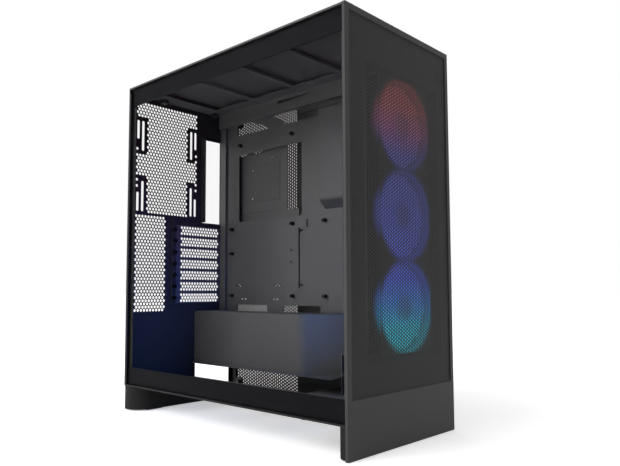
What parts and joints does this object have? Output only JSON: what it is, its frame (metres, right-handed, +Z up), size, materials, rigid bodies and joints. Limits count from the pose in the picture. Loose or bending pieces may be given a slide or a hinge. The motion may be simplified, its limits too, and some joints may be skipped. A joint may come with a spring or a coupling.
{
  "type": "desktop computer tower",
  "caption": "Upright computer case with a clear glass side, mesh front over lit intake fans, an open motherboard chamber, removable panels, a dust filter and front connectors.",
  "frame": {"origin": "on the ground, under the middle of the tower's outer box", "axes": "+Z up, -Y to the mesh front, -X to the glass side"},
  "size_m": [0.244, 0.468, 0.544],
  "materials": {
    "chassis_steel": "fine satin black powder coat",
    "panel_steel": "fine matt black powder coat",
    "panel_mesh": "fine matt black powder coat on perforated sheet",
    "glass_clear": "polished, nearly clear tempered glass",
    "glass_band": "black rail bonded behind the glass",
    "clip_pins": "plain turned steel",
    "clip_plastic": "black moulded plastic",
    "screw_steel": "black oxide steel",
    "fan_plastic": "black moulded plastic",
    "fan_light": "milky light guide over the lamps",
    "blade_plastic": "milky translucent plastic, lit from the hub",
    "foot_plastic": "black moulded plastic, fine texture",
    "pad_rubber": "soft black rubber",
    "filter_plastic": "black moulded plastic",
    "filter_nylon": "fine black woven mesh",
    "board_laminate": "black laminate and hanger",
    "port_shell": "bright plated shells",
    "button_plastic": "black moulded plastic"
  },
  "bodies": {
    "chassis": {"floor_pan": "chassis_steel", "psu_pan": "chassis_steel", "rear_panel": "chassis_steel", "rear_pillars": "chassis_steel", "slot_cover_1": "chassis_steel", "slot_cover_2": "chassis_steel", "slot_cover_3": "chassis_steel", "slot_cover_4": "chassis_steel", "slot_cover_5": "chassis_steel", "slot_cover_6": "chassis_steel", "slot_cover_7": "chassis_steel", "slot_retainer": "chassis_steel", "slot_screws": "screw_steel", "front_frame": "chassis_steel", "fan_pocket": "chassis_steel", "fan_plate": "chassis_steel", "fan_frame": "fan_plastic", "fan_leds": "fan_light", "fan_motors": "fan_plastic", "fan_screws": "screw_steel", "top_frame": "chassis_steel", "top_strip": "panel_steel", "motherboard_tray": "chassis_steel", "standoffs": "screw_steel", "upper_rail": "chassis_steel", "cable_cover": "chassis_steel", "psu_shroud": "chassis_steel", "drive_plate": "chassis_steel", "plate_posts": "screw_steel", "drive_cage": "chassis_steel", "front_foot": "foot_plastic", "rear_foot": "foot_plastic", "foot_pads": "pad_rubber", "clip_sockets": "clip_plastic", "port_board": "board_laminate", "usb_a_ports": "port_shell", "usb_c_port": "port_shell", "audio_jack": "button_plastic", "power_switch": "button_plastic"},
    "glass_side": {"glass_pane": "glass_clear", "glass_top_rail": "glass_band", "glass_bottom_rail": "glass_band", "glass_studs": "clip_pins"},
    "right_side": {"right_panel": "panel_steel", "right_mesh": "panel_mesh", "right_studs": "clip_pins"},
    "front_cover": {"front_panel": "panel_steel", "front_mesh": "panel_mesh", "front_studs": "clip_pins"},
    "top_cover": {"top_panel": "panel_steel", "top_skirts": "panel_steel", "top_mesh": "panel_mesh", "top_studs": "clip_pins"},
    "dust_filter": {"filter_frame": "filter_plastic", "filter_mesh": "filter_nylon"},
    "top_fan_rotor": {"fan_rotor_1": "blade_plastic"},
    "middle_fan_rotor": {"fan_rotor_2": "blade_plastic"},
    "bottom_fan_rotor": {"fan_rotor_3": "blade_plastic"},
    "power_button": {"power_button": "button_plastic"}
  },
  "joints": [
    {"name": "glass_lift", "type": "slide", "parent": "chassis", "child": "glass_side", "axis": [-1, 0, 0], "range_m": [0, 0.06]},
    {"name": "right_lift", "type": "slide", "parent": "chassis", "child": "right_side", "axis": [1, 0, 0], "range_m": [0, 0.06]},
    {"name": "front_lift", "type": "slide", "parent": "chassis", "child": "front_cover", "axis": [0, -1, 0], "range_m": [0, 0.06]},
    {"name": "top_lift", "type": "slide", "parent": "chassis", "child": "top_cover", "axis": [0, 0, 1], "range_m": [0, 0.06]},
    {"name": "filter_slide", "type": "slide", "parent": "chassis", "child": "dust_filter", "axis": [-1, 0, 0], "range_m": [0, 0.12]},
    {"name": "top_fan_spin", "type": "hinge", "parent": "chassis", "child": "top_fan_rotor", "pos_m": [0.012, -0.218, 0.417], "axis": [0, 1, 0], "continuous": true},
    {"name": "middle_fan_spin", "type": "hinge", "parent": "chassis", "child": "middle_fan_rotor", "pos_m": [0.012, -0.218, 0.296], "axis": [0, 1, 0], "continuous": true},
    {"name": "bottom_fan_spin", "type": "hinge", "parent": "chassis", "child": "bottom_fan_rotor", "pos_m": [0.012, -0.218, 0.175], "axis": [0, 1, 0], "continuous": true},
    {"name": "power_press", "type": "slide", "parent": "chassis", "child": "power_button", "axis": [0, 0, -1], "range_m": [0, 0.0012], "stiffness_N_per_m": 600, "springref_m": -0.001}
  ]
}
